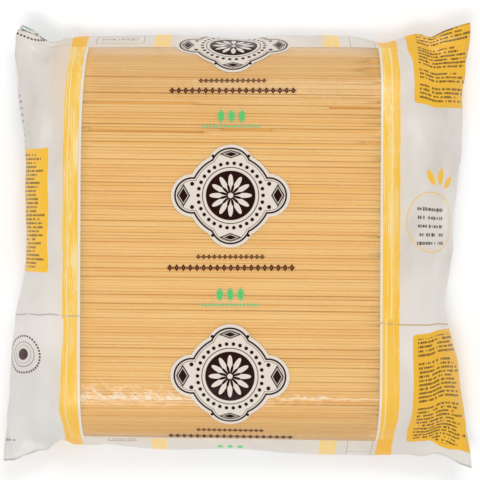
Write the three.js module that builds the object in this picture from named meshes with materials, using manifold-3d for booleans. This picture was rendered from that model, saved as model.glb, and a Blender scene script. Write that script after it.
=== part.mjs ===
// A catering pack of dry spaghetti. A film bag, sealed at both ends, lies on its back with its
// clear window up. The film clings to a block of parallel strands and narrows past the block's two
// ends to flat seals: each seal hangs down along its end and stands out at the corners as an ear.
//
// Frame: +X runs along the strands, +Y across them, +Z up. The origin is on the table, under the
// centre of the pack. Millimetres and degrees.

import * as THREE from "three";
import { mergeVertices } from "three/addons/utils/BufferGeometryUtils.js";
import Module from "manifold-3d";

const wasm = await Module();
wasm.setup();
const { Manifold, Mesh: SolidMesh } = wasm;

// ---------- Driving dimensions ----------

const STRAND_DIAMETER = 2.46;
const STRAND_LENGTH = 258;
const STRAND_PITCH = 2.44; // neighbours are pressed together
const STRAND_SLANT = -0.7; // the strands lie a little askew in the bag
const STRAND_LIFT = 0.35; // how far a strand's height strays from its neighbours'
const STRAND_DEPTH = 4; // each strand stands on the layers under it, down to this depth
const STRAND_FOOT = 0.15; // how far a strand's foot reaches in under its neighbour
const STRAND_BURIED = 0.5; // how far a strand runs in under the printed end
const RAGGED_SHARE = 0.4; // strands whose right end shows, short of the block's end
const RAGGED_REACH = 9;

const BLOCK_CENTRE_X = -5;
const LAYER_DEPTH = 1.7; // how far under the film the layer below the top strands lies
const TRENCH_WALL = 0.5; // the printed film steps up to the crests over this length

// The pack's cross-section over the block, as [across, height] points of a smooth curve. It starts
// at the middle of the underside and turns up the near side, so that the two shoulders and the
// flat top follow.
const SECTION = [
  [0, 0], [-80, 0], [-148, 0], [-160, 0.3], [-172, 3.6], [-178.6, 11.5], [-176.2, 20.5],
  [-170.3, 30.6], [-162.6, 41], [-155.6, 48.2], [-147, 54.6], [-134.5, 60.6], [-118, 63.2],
  [-95, 63.9], [-50, 64], [0, 64], [50, 63.9], [80, 63.2], [105, 61.2], [128, 57.4],
  [145, 51.8], [159, 42.5], [171, 29.5], [179.3, 17], [183, 8.5], [177, 2.4], [166, 0.2],
  [156, 0], [80, 0], [0, 0],
];
// The rows of strands that show run between these two places round the section, counted along it
// from the middle of the top, positive towards the far side.
const STRANDS_NEAR = -188;
const STRANDS_FAR = 187;

// Broken strands, as [place round the section, where it starts, where it stops], and the corner
// where many strands stop short.
const BROKEN = [
  [118, -36, 124.5], [115, -134.5, 77], [97, -123, -13], [94, -28, 124.5],
  [87, -134.5, 105], [-61, -134.5, 92],
];
const SHORT_CORNER = 143;
const SHORT_CORNER_REACH = 15;

// How far out the section's two sides lie, and the stretch round the section that bulges in and
// out with the outline: it starts and ends softly, between the first and the second place.
const NEAR_SIDE = 178.6;
const FAR_SIDE = 183;
const BULGE_TOP = [172, 203];
const BULGE_FOOT = [215, 250];

const SWELL = { bulge: 1.8, shoulder: 0.75 }; // the slope from the block down to the fold
const EAR_PINCH = 1.6; // how soon the film closes up towards an ear
const UNDER_LIFT = 2.5; // how late the underside leaves the table

const FOLD_HEIGHT = 24; // where an end turns down into its seal
const SEAL_ROOT_HEIGHT = 15;
const SEAL_TIP_HEIGHT = 3;
const SEAL_THICKNESS = 1.4;
const SEAL_TUCK = 3; // the seal's tip lies this far in from the fold
const UNDER_INSET = 5; // the underside meets the seal this far in from the fold
const UNDER_HEIGHT = 10;
const EAR_HEIGHT = 27;
const EAR_LENGTH = 9; // flat seal that stands out beyond an ear's fold
const EAR_START = 0.7; // share of the half width where the ear begins

// Outlines seen from above, as [distance along, distance out] points of a smooth curve.
const LONG_SIDES = {
  far: [
    [-190, 190.8], [-183, 189], [-173, 183], [-161, 175.2], [-148, 179], [-135, 183.2],
    [-120, 183.4], [-100, 183.9], [-50, 184.7], [-32, 183.6], [7, 180.6], [33, 184], [84, 184],
    [104, 182.9], [120, 179], [129, 177.2], [156, 183.4], [167, 180.1], [179, 185.4], [203, 193],
  ],
  near: [
    [-201.5, -186], [-192, -184.7], [-182, -180.6], [-171, -176.8], [-164, -176.6], [-153, -168],
    [-140, -173.2], [-125, -174.4], [-112, -173.8], [-84, -176.8], [-50, -178.6], [-21, -177.6],
    [7, -178.2], [50, -181.9], [110, -183.4], [130, -183], [150, -181], [162, -182.2],
    [170, -179.2], [180, -181.6], [190, -187.2], [203, -193],
  ],
};
const ENDS = {
  left: [
    [-186, -201.7], [-157, -202.2], [-130, -197.6], [-70, -193.1], [-26, -184.3], [10, -182.6],
    [30, -182.8], [56, -183.7], [85, -182.8], [120, -189], [140, -189.9], [160, -195.6],
    [172, -193], [181, -191], [187, -186.4], [190, -185.7],
  ],
  right: [
    [-191.4, 202.3], [-172, 202.3], [-157, 201.4], [-145, 198], [-120, 192.6], [-100, 191],
    [-88, 186.6], [-77, 184.4], [-54, 178.7], [-43, 180.2], [-20, 183.8], [-5, 187], [15, 186.3],
    [30, 187.2], [56, 191], [78, 193.8], [116, 195.3], [134, 195.8], [150, 199.6], [161, 202.2],
    [175, 202.2], [191.4, 201],
  ],
};
const EAR_REACH = 188; // half the width of a flat end seal

// How finely the film is faceted. The places lie round a quarter of the section, from the middle
// of the top, as shares of the quarter.
const PLACES = [
  0, 0.14, 0.28, 0.42, 0.52, 0.6, 0.67, 0.73, 0.78, 0.825, 0.87, 0.905, 0.94, 0.97,
];
const SECTION_SAMPLES = 3000;
const STEPS_BLOCK = 12;
const STEPS_WEDGE = 6;
const WEDGE_SPACING = 0.8; // under 1 sets the steps closer together towards the fold
const SEAL_SHARES = [0.42, 1];

const PASTA_COLOUR = 0xe6bd7c;

// ---------- Helpers ----------

const mix = (a, b, share) => a + (b - a) * share;
const clamp01 = (value) => Math.min(1, Math.max(0, value));
const smoothstep = (from, to, value) => {
  const share = clamp01((value - from) / (to - from));
  return share * share * (3 - 2 * share);
};

// A repeatable draw between 0 and 1 for strand number `index`.
const draw = (index, salt) => {
  const wave = Math.sin(index * 127.1 + salt * 311.7) * 43758.5453;
  return wave - Math.floor(wave);
};

// The smooth curve through points [x, y] in rising x, as a function of x.
function curveThrough(points) {
  const slopes = points.map((_, i) => {
    const before = points[Math.max(0, i - 1)];
    const after = points[Math.min(points.length - 1, i + 1)];
    return (after[1] - before[1]) / (after[0] - before[0]);
  });
  return (x) => {
    const last = points.length - 2;
    let i = points.findIndex((point) => point[0] > x) - 1;
    i = i < -1 ? last : Math.min(last, Math.max(0, i));
    const [x0, y0] = points[i];
    const [x1, y1] = points[i + 1];
    const width = x1 - x0;
    const s = clamp01((x - x0) / width);
    return (
      y0 * (1 + 2 * s) * (1 - s) ** 2 +
      slopes[i] * width * s * (1 - s) ** 2 +
      y1 * s * s * (3 - 2 * s) +
      slopes[i + 1] * width * s * s * (s - 1)
    );
  };
}

const distance = ([y0, z0], [y1, z1]) => Math.hypot(y1 - y0, z1 - z0);

const farSide = curveThrough(LONG_SIDES.far);
const nearSide = curveThrough(LONG_SIDES.near);
const ends = [
  { side: -1, blockX: BLOCK_CENTRE_X - STRAND_LENGTH / 2, outline: curveThrough(ENDS.left) },
  { side: 1, blockX: BLOCK_CENTRE_X + STRAND_LENGTH / 2, outline: curveThrough(ENDS.right) },
];

// ---------- The cross-section ----------

// A smooth path through points, as a function of the length along it. `lengthAt` is the length
// at one of the points.
function pathThrough(points) {
  const ticks = [0];
  for (let i = 1; i < points.length; i++) {
    ticks.push(ticks.at(-1) + distance(points[i - 1], points[i]));
  }
  const across = curveThrough(points.map(([y], i) => [ticks[i], y]));
  const height = curveThrough(points.map(([, z], i) => [ticks[i], z]));
  const samples = Array.from({ length: SECTION_SAMPLES + 1 }, (_, i) => {
    const tick = (i / SECTION_SAMPLES) * ticks.at(-1);
    return [across(tick), Math.max(0, height(tick))];
  });
  const lengths = [0];
  for (let i = 1; i < samples.length; i++) {
    lengths.push(lengths.at(-1) + distance(samples[i - 1], samples[i]));
  }
  const step = lengths.at(-1) / SECTION_SAMPLES;
  const even = [];
  for (let i = 0, next = 1; i <= SECTION_SAMPLES; i++) {
    while (next < SECTION_SAMPLES && lengths[next] < i * step) next++;
    const share = (i * step - lengths[next - 1]) / (lengths[next] - lengths[next - 1]);
    even.push(samples[next].map((value, axis) => mix(samples[next - 1][axis], value, share)));
  }
  return {
    length: lengths.at(-1),
    lengthAt: (index) => lengths[Math.round((ticks[index] / ticks.at(-1)) * SECTION_SAMPLES)],
    at: (length) => {
      const i = Math.min(SECTION_SAMPLES - 1, Math.floor(length / step));
      return even[i].map((value, axis) => mix(value, even[i + 1][axis], length / step - i));
    },
  };
}

const section = pathThrough(SECTION);
const QUARTER = section.length / 4;
const topMiddle = section.lengthAt(SECTION.findIndex(([y, z]) => y === 0 && z > 0));

// The place [across, height] on the section, `round` millimetres from the middle of its top.
const placeOn = (round) => section.at((topMiddle + round + section.length) % section.length);

// How much of the outline's bulge the film takes at a place round the section.
const bulgeAt = (round) =>
  smoothstep(...BULGE_TOP, Math.abs(round)) * (1 - smoothstep(...BULGE_FOOT, Math.abs(round)));

// From 0 at the middle of the upper or the under film to 1 at the edge between them.
const acrossAt = (round) => 1 - Math.abs(Math.abs(round) - QUARTER) / QUARTER;

// The places where the film's corners lie, once round from the far edge over the top.
const quarter = PLACES.map((share) => share * QUARTER);
const rounds = [
  QUARTER,
  ...quarter.toReversed(),
  ...quarter.slice(1).map((round) => -round),
  -QUARTER,
  ...quarter.slice(1).toReversed().map((round) => round - 2 * QUARTER),
  2 * QUARTER,
  ...quarter.slice(1).map((round) => 2 * QUARTER - round),
];

// ---------- The film's stations along the pack ----------
// Each station is a function of the place round the section. It gives a point of the film.

// The distance out from the pack's middle line. `share` is 0 over the block, where the film keeps
// to the section, and 1 at the flat seal, where it is spread evenly from edge to edge.
function widthShare(round, share, side, reach) {
  const atBlock = (Math.abs(placeOn(round)[0]) + (side - reach) * bulgeAt(round)) / side;
  return mix(atBlock, acrossAt(round), share);
}

function outAt(x, round, share) {
  const far = round > 0;
  const side = far ? farSide(x) : -nearSide(x);
  const reach = far ? FAR_SIDE : NEAR_SIDE;
  const sameSide = rounds.filter((place) => place > 0 === far);
  const widest = Math.max(...sameSide.map((place) => widthShare(place, share, side, reach)));
  const out = share > 0 ? side / widest : side;
  const direction = Math.sign(placeOn(round)[0]);
  return direction * out * widthShare(round, share, side, reach);
}

// Over the block the upper film's place is taken by the strands, so the core stops under them.
const blockStation = (x) => (round) => {
  const [y, z] = placeOn(round);
  const underStrands = round > STRANDS_NEAR && round < STRANDS_FAR;
  if (!underStrands) return [x, outAt(x, round, 0), z];
  const [across, up] = outwardAt(round);
  return [x, y - across * LAYER_DEPTH, z - up * LAYER_DEPTH];
};

// Past the block the film slopes down to the fold: `share` is 0 at the block and 1 at the fold.
const wedgeStation = ({ side, blockX, outline }, share) => (round) => {
  const across = acrossAt(round);
  const upper = Math.abs(round) <= QUARTER;
  const endX = outline(Math.sign(round) * across * EAR_REACH);
  const ear = smoothstep(EAR_START, 1, across);
  const middleX = endX - (upper ? 0 : side * UNDER_INSET);
  const x = mix(blockX, mix(middleX, endX - side * EAR_LENGTH, ear), share);
  const [, high] = placeOn(round);
  const swell = (1 - share ** SWELL.bulge) ** SWELL.shoulder;
  const pinch = (1 - share) ** EAR_PINCH;
  const middleZ = upper
    ? mix(FOLD_HEIGHT, high, swell)
    : high * (1 - share) + UNDER_HEIGHT * share ** UNDER_LIFT;
  const earZ = mix(EAR_HEIGHT - (upper ? 0 : SEAL_THICKNESS), high, pinch);
  return [x, outAt(x, round, share), mix(middleZ, earZ, ear)];
};

// The flat seal: `share` is 0 at the fold and 1 at the seal's edge.
const sealStation = ({ side, outline }, share) => (round) => {
  const across = acrossAt(round);
  const upper = Math.abs(round) <= QUARTER;
  const endX = outline(Math.sign(round) * across * EAR_REACH);
  const ear = smoothstep(EAR_START, 1, across);
  const hangX = endX - side * (SEAL_TUCK * share + (upper ? 0 : SEAL_THICKNESS));
  const fold = mix(FOLD_HEIGHT, SEAL_TIP_HEIGHT, share);
  const hangZ = upper ? fold : Math.min(fold, SEAL_ROOT_HEIGHT);
  const earX = endX - side * EAR_LENGTH * (1 - share);
  const earZ = EAR_HEIGHT - share - (upper ? 0 : SEAL_THICKNESS);
  const x = mix(hangX, earX, ear);
  return [x, outAt(x, round, 1), mix(hangZ, earZ, ear)];
};

function stations() {
  const [left, right] = ends;
  const wedgeShares = Array.from(
    { length: STEPS_WEDGE + 1 },
    (_, i) => (i / STEPS_WEDGE) ** WEDGE_SPACING,
  );
  const outward = (end) => [
    ...wedgeShares.map((share) => wedgeStation(end, share)),
    ...SEAL_SHARES.map((share) => sealStation(end, share)),
  ];
  const block = Array.from({ length: STEPS_BLOCK + 1 }, (_, i) =>
    blockStation(
      mix(left.blockX + TRENCH_WALL, right.blockX - TRENCH_WALL, i / STEPS_BLOCK),
    ),
  );
  return [...outward(left).reverse(), ...block, ...outward(right)];
}

// ---------- The bag ----------

// One ring of points round the film for each station. It starts at the far edge and passes over
// the top, so point i lies over point `length - i`.
function bag() {
  const rings = stations().map((station) => rounds.map(station));
  const count = rounds.length;
  const triangles = [];
  const quad = (a, b, c, d) => triangles.push(a, b, c, a, c, d);
  for (let r = 0; r + 1 < rings.length; r++) {
    for (let i = 0; i < count; i++) {
      const next = (i + 1) % count;
      quad(r * count + i, r * count + next, (r + 1) * count + next, (r + 1) * count + i);
    }
  }
  const close = (start, outward) => {
    for (let i = 0; i < count / 2; i++) {
      const corners = [i, i + 1, count - i - 1, (count - i) % count];
      const [p, q, s, t] = outward ? corners : corners.toReversed();
      for (const triangle of [[p, q, s], [p, s, t]]) {
        if (new Set(triangle).size < 3) continue;
        triangles.push(...triangle.map((corner) => start + corner));
      }
    }
  };
  close(0, false);
  close((rings.length - 1) * count, true);
  return new Manifold(
    new SolidMesh({
      numProp: 3,
      vertProperties: new Float32Array(rings.flat(2)),
      triVerts: new Uint32Array(triangles),
    }),
  );
}

// ---------- The strands ----------

// The direction out of the film, as [across, height], at a place round the section.
function outwardAt(round) {
  const [y0, z0] = placeOn(round - STRAND_PITCH / 2);
  const [y1, z1] = placeOn(round + STRAND_PITCH / 2);
  const length = Math.hypot(y1 - y0, z1 - z0);
  return [(z0 - z1) / length, (y1 - y0) / length];
}

// A strand's round top as half a hexagon, on the straight walls that join it to the core:
// [along the section, out of it] points.
function strandOutline(lift) {
  const radius = STRAND_DIAMETER / 2;
  const middle = lift - radius * Math.sin(Math.PI / 3);
  return [
    [-radius - STRAND_FOOT, -STRAND_DEPTH],
    [radius + STRAND_FOOT, -STRAND_DEPTH],
    [radius, middle],
    [radius / 2, lift],
    [-radius / 2, lift],
    [-radius, middle],
  ];
}

// A strand at a place round the section, from `fromX` to `toX`, skewed along the section.
function strand(round, lift, fromX, toX) {
  const shape = new THREE.Shape(strandOutline(lift).map((point) => new THREE.Vector2(...point)));
  const geometry = new THREE.ExtrudeGeometry(shape, { depth: toX - fromX, bevelEnabled: false });
  const position = geometry.attributes.position;
  const slope = Math.tan((STRAND_SLANT * Math.PI) / 180);
  const [y, z] = placeOn(round);
  const [across, up] = outwardAt(round);
  for (let i = 0; i < position.count; i++) {
    const x = fromX + position.getZ(i);
    const along = position.getX(i) + slope * (x - BLOCK_CENTRE_X);
    const out = position.getY(i);
    position.setXYZ(i, x, y + along * up + out * across, z - along * across + out * up);
  }
  geometry.deleteAttribute("normal");
  geometry.deleteAttribute("uv");
  const welded = mergeVertices(geometry);
  return new Manifold(
    new SolidMesh({
      numProp: 3,
      vertProperties: welded.attributes.position.array,
      triVerts: new Uint32Array(welded.index.array),
    }),
  );
}

// Where strand `index`, at a place round the section, starts and stops along the pack.
function strandReach(index, round) {
  const broken = BROKEN.find(([place]) => Math.abs(place - round) < STRAND_PITCH / 2);
  if (broken) return broken.slice(1);
  const [left, right] = ends;
  const ragged = draw(index, 1) < RAGGED_SHARE ? RAGGED_REACH * draw(index, 2) : 0;
  const short = round > SHORT_CORNER ? SHORT_CORNER_REACH * draw(index, 3) : 0;
  const stop = right.blockX - ragged - short;
  return [left.blockX - STRAND_BURIED, stop < right.blockX ? stop : stop + STRAND_BURIED];
}

function strands() {
  const count = Math.floor((STRANDS_FAR - STRANDS_NEAR) / STRAND_PITCH);
  return Array.from({ length: count }, (_, index) => {
    const round = STRANDS_NEAR + (index + 0.5) * STRAND_PITCH;
    return strand(round, STRAND_LIFT * draw(index, 4), ...strandReach(index, round));
  });
}

// ---------- The pack ----------

function meshOf(name, solid, material) {
  const { numProp, vertProperties, triVerts } = solid.getMesh();
  const geometry = new THREE.BufferGeometry();
  const points = new THREE.InterleavedBuffer(vertProperties, numProp);
  geometry.setAttribute("position", new THREE.InterleavedBufferAttribute(points, 3, 0));
  geometry.setIndex(new THREE.BufferAttribute(triVerts, 1));
  const mesh = new THREE.Mesh(geometry, material);
  mesh.name = name;
  return mesh;
}

const packMaterial = new THREE.MeshStandardMaterial({
  color: PASTA_COLOUR,
  roughness: 0.45,
  metalness: 0,
});

const pack = new THREE.Group();
pack.add(meshOf("spaghetti_pack", Manifold.union([bag(), ...strands()]), packMaterial));

export default pack;
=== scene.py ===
# %% [markdown]
# # A flat pillow bag of dry spaghetti
#
# A catering pack of spaghetti is a loaf of about three thousand straight strands in a tube of film. The
# tube is sealed across both ends. Because the loaf is thick and the seals are flat, the film slopes down
# from the loaf to each seal, and its corners stick out as pointed ears. The front is a clear window. The
# ends, the long sides and the back are printed white, with yellow stripes round the tube.
#
# The bag could be sculpted by hand, or blown up from a flat tube by a cloth simulation. Here it is worked
# out from a cross-section and a few outlines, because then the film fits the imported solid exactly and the
# print lies on it as it lay on the flat film.

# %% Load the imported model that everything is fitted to
import math

import bmesh
import bpy
import numpy as np
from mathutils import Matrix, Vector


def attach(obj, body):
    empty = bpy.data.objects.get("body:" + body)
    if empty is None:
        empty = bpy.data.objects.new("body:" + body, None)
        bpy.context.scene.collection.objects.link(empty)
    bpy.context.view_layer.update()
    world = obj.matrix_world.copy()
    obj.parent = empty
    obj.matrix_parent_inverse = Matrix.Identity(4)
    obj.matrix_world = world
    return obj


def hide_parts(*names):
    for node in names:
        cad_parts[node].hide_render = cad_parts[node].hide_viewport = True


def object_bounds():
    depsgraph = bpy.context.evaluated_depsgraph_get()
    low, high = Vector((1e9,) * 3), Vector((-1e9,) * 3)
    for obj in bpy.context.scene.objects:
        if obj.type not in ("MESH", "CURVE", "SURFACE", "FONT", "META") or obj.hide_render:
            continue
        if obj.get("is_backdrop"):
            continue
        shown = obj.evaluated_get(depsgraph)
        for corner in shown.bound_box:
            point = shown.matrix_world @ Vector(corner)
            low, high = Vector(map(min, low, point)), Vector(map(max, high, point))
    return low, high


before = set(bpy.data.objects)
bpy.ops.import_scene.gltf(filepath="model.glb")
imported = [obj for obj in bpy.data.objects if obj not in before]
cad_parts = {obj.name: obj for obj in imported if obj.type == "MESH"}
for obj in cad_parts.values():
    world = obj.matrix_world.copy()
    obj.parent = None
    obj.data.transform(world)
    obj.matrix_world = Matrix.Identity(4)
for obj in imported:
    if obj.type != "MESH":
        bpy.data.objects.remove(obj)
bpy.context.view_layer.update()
PACK = "spaghetti_pack"
MM = 0.001

# %% [markdown]
# ## The bag's outline
#
# Seen from above, a bag's outline is never straight: the long sides bulge between the loaf's corners, and
# the seals pull in between the ears. Each of the four sides is a smooth curve through a few points that
# sit where the outline turns. A drawn curve object would do as well, but a function can be asked for any
# point, which is what bending a sheet needs.

# %% Smooth curves through a few points
def curve_through(points):
    """A smooth function through the points (where, value), level beyond the first and the last."""
    where, value = np.array(points, float).T
    before = np.clip(np.arange(len(where)) - 1, 0, None)
    after = np.clip(np.arange(len(where)) + 1, None, len(where) - 1)
    slope = (value[after] - value[before]) / (where[after] - where[before])

    def curve(t):
        t = np.clip(t, where[0], where[-1])
        i = np.clip(np.searchsorted(where, t, "right") - 1, 0, len(where) - 2)
        span = where[i + 1] - where[i]
        s = (t - where[i]) / span
        start = (1 + 2 * s) * (1 - s) ** 2 * value[i] + s * (1 - s) ** 2 * span * slope[i]
        end = s * s * (3 - 2 * s) * value[i + 1] - s * s * (1 - s) * span * slope[i + 1]
        return start + end

    return curve


def mix(a, b, share):
    return a + (b - a) * share


def smoothstep(low, high, x):
    t = np.clip((x - low) / (high - low), 0, 1)
    return t * t * (3 - 2 * t)


# %% The four sides of the outline, in millimetres
far_side = curve_through([
    (-190, 190.8), (-183, 189), (-173, 183), (-161, 175.2), (-148, 179), (-135, 183.2), (-120, 183.4),
    (-100, 183.9), (-50, 184.7), (-32, 183.6), (7, 180.6), (33, 184), (84, 184), (104, 182.9),
    (120, 179), (129, 177.2), (156, 183.4), (167, 180.1), (179, 185.4), (203, 193),
])
near_side = curve_through([
    (-201.5, -186), (-192, -184.7), (-182, -180.6), (-171, -176.8), (-164, -176.6), (-153, -168),
    (-140, -173.2), (-125, -174.4), (-112, -173.8), (-84, -176.8), (-50, -178.6), (-21, -177.6),
    (7, -178.2), (50, -181.9), (110, -183.4), (130, -183), (150, -181), (162, -182.2), (170, -179.2),
    (180, -181.6), (190, -187.2), (203, -193),
])
left_end = curve_through([
    (-186, -201.7), (-157, -202.2), (-130, -197.6), (-70, -193.1), (-26, -184.3), (10, -182.6), (30, -182.8),
    (56, -183.7), (85, -182.8), (120, -189), (140, -189.9), (160, -195.6), (172, -193), (181, -191),
    (187, -186.4), (190, -185.7),
])
right_end = curve_through([
    (-191.4, 202.3), (-172, 202.3), (-157, 201.4), (-145, 198), (-120, 192.6), (-100, 191), (-88, 186.6),
    (-77, 184.4), (-54, 178.7), (-43, 180.2), (-20, 183.8), (-5, 187), (15, 186.3), (30, 187.2), (56, 191),
    (78, 193.8), (116, 195.3), (134, 195.8), (150, 199.6), (161, 202.2), (175, 202.2), (191.4, 201),
])
print("half-way along, the bag is", (far_side(0) - near_side(0)).round(1), "mm wide")

# %% [markdown]
# ## The loaf's cross-section
#
# The strands pack into a loaf with a flat back, a gently domed front and long rounded shoulders, because
# the film pulls them together at the sides. The section is one closed curve through listed points. The
# film, the print and the strands all find their place by the length along it.
# A round or a boxy section would be simpler, but the film would then be too long or too short for the
# loaf, and the print would be squeezed at the wrong places.

# %% The section as a curve that knows its own length
SECTION = [
    (0, 0), (-80, 0), (-148, 0), (-160, 0.3), (-172, 3.6), (-178.6, 11.5), (-176.2, 20.5), (-170.3, 30.6),
    (-162.6, 41), (-155.6, 48.2), (-147, 54.6), (-134.5, 60.6), (-118, 63.2), (-95, 63.9), (-50, 64),
    (0, 64), (50, 63.9), (80, 63.2), (105, 61.2), (128, 57.4), (145, 51.8), (159, 42.5), (171, 29.5),
    (179.3, 17), (183, 8.5), (177, 2.4), (166, 0.2), (156, 0), (80, 0), (0, 0),
]
TOP_MIDDLE = SECTION.index((0, 64))
NEAR_REACH, FAR_REACH = 178.6, 183
SECTION_TICKS = 6001

corners = np.array(SECTION, float)
ticks = np.concatenate([[0], np.cumsum(np.hypot(*np.diff(corners, axis=0).T))])
tick = np.linspace(0, ticks[-1], SECTION_TICKS)
loop_y = curve_through(list(zip(ticks, corners[:, 0])))(tick)
loop_z = np.maximum(0, curve_through(list(zip(ticks, corners[:, 1])))(tick))
loop_length = np.concatenate([[0], np.cumsum(np.hypot(np.diff(loop_y), np.diff(loop_z)))])
ROUND = loop_length[-1]
HALF_TUBE = ROUND / 2
QUARTER = ROUND / 4
top_middle = np.interp(ticks[TOP_MIDDLE], tick, loop_length)


def on_section(v):
    """The point (y, z) that lies v millimetres round the section from the middle of its top."""
    along = (v + top_middle) % ROUND
    return np.interp(along, loop_length, loop_y), np.interp(along, loop_length, loop_z)


def outward(v, reach=1.2):
    """The direction (y, z) straight out of the section."""
    y0, z0 = on_section(v - reach)
    y1, z1 = on_section(v + reach)
    length = np.hypot(y1 - y0, z1 - z0)
    return (z0 - z1) / length, (y1 - y0) / length


print("the tube measures", ROUND.round(1), "mm round")

# %% [markdown]
# ## The film's form along the bag
#
# Over the loaf the film follows the section. Past the loaf's end it comes down in a swell, the underside
# lifts, and both meet in the seal, which hangs down in the middle and lies flat in the two ears. On the
# way the section opens out until it is spread evenly from ear to ear. One function for each of the three
# stretches gives a whole ring of film points.

# %% Sizes of the bag
BLOCK_LEFT, BLOCK_RIGHT = -134, 124  # the loaf's two ends
FILM_GAP = 0.5  # from the loaf to the film
BED = 0.4  # how high the underside lies
SWELL_BULGE, SWELL_SHOULDER = 1.8, 0.75  # powers: how round the swell is
EAR_PINCH = 1.6  # power: how soon the film thins toward an ear
UNDER_LIFT = 2.5  # power: how late the underside leaves the table
UNDER_INSET, UNDER_HEIGHT = 5, 10
FOLD_HEIGHT = 24
SEAL_ROOT_HEIGHT, SEAL_TIP_HEIGHT = 15, 3
SEAL_THICKNESS, SEAL_TUCK = 0.5, 3
SEAM_START = 0.985  # where the gap between the films closes toward the tube's edge
EAR_START, EAR_REACH = 0.7, 188
EAR_HEIGHT, EAR_LENGTH = 27, 9
print("the loaf is", BLOCK_RIGHT - BLOCK_LEFT, "mm long")


# %% How far across the film lies
def bulge(v):
    """How much of the outline's bulge the film takes: only the sides of the section move in and out."""
    return smoothstep(172, 203, np.abs(v)) * (1 - smoothstep(215, 250, np.abs(v)))


def across(v):
    """From 0 in the middle of either film to 1 at the edge between them."""
    return 1 - np.abs(np.abs(v) - QUARTER) / QUARTER


def out_at(x, v, share):
    """How far across the film lies; share runs from 0 at the loaf to 1 at the seal."""
    y = on_section(v)[0]
    side = np.where(v > 0, far_side(x), -near_side(x))
    reach = np.where(v > 0, FAR_REACH, NEAR_REACH)
    spread = mix((np.abs(y) + (side - reach) * bulge(v)) / side, across(v), share)
    widest = np.where(v > 0, spread[v > 0].max(), spread[v <= 0].max())
    return np.sign(y) * side * spread / (widest if share > 0 else 1)


# %% Rings of film over the loaf, the slopes and the seals
def swell(share):
    """What is left of the loaf's height, from 1 at the loaf to 0 at the fold."""
    return (1 - share**SWELL_BULGE) ** SWELL_SHOULDER


def end_shape(side, v):
    """The end's outline, how much it is an ear, and how far the under film lies below the upper one."""
    edge = across(v)
    end = right_end if side > 0 else left_end
    gap = SEAL_THICKNESS * (1 - smoothstep(SEAM_START, 1, edge)) * (np.abs(v) > QUARTER)
    return end(np.sign(v) * edge * EAR_REACH), smoothstep(EAR_START, 1, edge), gap


def over_loaf(x, v):
    y, z = on_section(v)
    out, up = outward(v)
    return x, out_at(x, v, 0) + out * FILM_GAP, np.maximum(BED, z + up * FILM_GAP)


def on_slope(side, share, v):
    """share runs from 0 at the loaf's end to 1 at the fold over the seal."""
    end_x, ear, gap = end_shape(side, v)
    upper = np.abs(v) <= QUARTER
    block_x = BLOCK_RIGHT if side > 0 else BLOCK_LEFT
    middle_x = end_x - np.where(upper, 0, side * UNDER_INSET)
    x = mix(block_x, mix(middle_x, end_x - side * EAR_LENGTH, ear), share)
    z = on_section(v)[1]
    out, up = outward(v)
    under_z = z * (1 - share) + UNDER_HEIGHT * share**UNDER_LIFT
    middle_z = np.where(upper, mix(FOLD_HEIGHT, z, swell(share)), under_z)
    ear_z = mix(EAR_HEIGHT - gap, z, (1 - share) ** EAR_PINCH)
    y = out_at(x, v, share) + out * FILM_GAP * (1 - share)
    return x, y, np.maximum(BED, mix(middle_z, ear_z, ear) + up * FILM_GAP * (1 - share))


def in_seal(side, share, v):
    """share runs from 0 at the fold to 1 at the cut edge, where the two films meet."""
    end_x, ear, gap = end_shape(side, v)
    gap = gap * (share < 1)
    hang_x = end_x - side * (SEAL_TUCK * share + gap)
    fold = mix(FOLD_HEIGHT, SEAL_TIP_HEIGHT, share)
    hang_z = np.where((np.abs(v) <= QUARTER) | (share == 1), fold, np.minimum(fold, SEAL_ROOT_HEIGHT))
    ear_x = end_x - side * EAR_LENGTH * (1 - share)
    x = mix(hang_x, ear_x, ear)
    return x, out_at(x, v, 1), mix(hang_z, EAR_HEIGHT - share - gap, ear)


# %% [markdown]
# ## The film, bent from one flat sheet
#
# The film starts as one flat grid: its columns run round the tube and its rows along it. Every point of
# the grid has its place on the tube, so that the sheet wraps the loaf without stretching, as real film has
# to. Two columns and two rows are laid on the edges of the clear window, so that the window can be cut out
# cleanly. A box with its corners pulled out would be quicker, but it would stretch the print there.

# %% The window's edges
WINDOW_HALF = 124.1
WINDOW_FAR, WINDOW_NEAR = 178.5, -172
NEAR_TILT, NEAR_TILT_REACH = 4.2, 45
window_left = curve_through([
    (-195, -130.2), (-100, -130), (0, -129.6), (100, -129), (150, -127.8), (195, -127.3),
])
window_right = curve_through([
    (-195, 118), (-100, 118.2), (0, 118.5), (100, 119.3), (150, 120.6), (195, 121.4),
])


def window_edges(v):
    """Where the window's side edges run; on the back they run on as on the front above it."""
    v = np.where(np.abs(v) > QUARTER, np.sign(v) * (HALF_TUBE - np.abs(v)), v)
    return window_left(v), window_right(v)


def tilted(v, x):
    """The rows near the window's near edge lie askew: the film was pulled down on the right."""
    tilt = np.clip(x / BLOCK_RIGHT, -1, 1) * smoothstep(NEAR_TILT_REACH, 0, np.abs(v - WINDOW_NEAR))
    return v - NEAR_TILT * tilt


print("the window measures", WINDOW_HALF * 2, "by", WINDOW_FAR - WINDOW_NEAR, "mm")

# %% Rows and columns of the grid
WINDOW_ROWS, ROWS = 140, 300
WINDOW_COLUMNS, MARGIN_COLUMNS, SLOPE_COLUMNS, SEAL_COLUMNS = 96, 2, 28, 30
SLOPE_LENGTH, SLOPE_FALL = 50, 40

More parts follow.
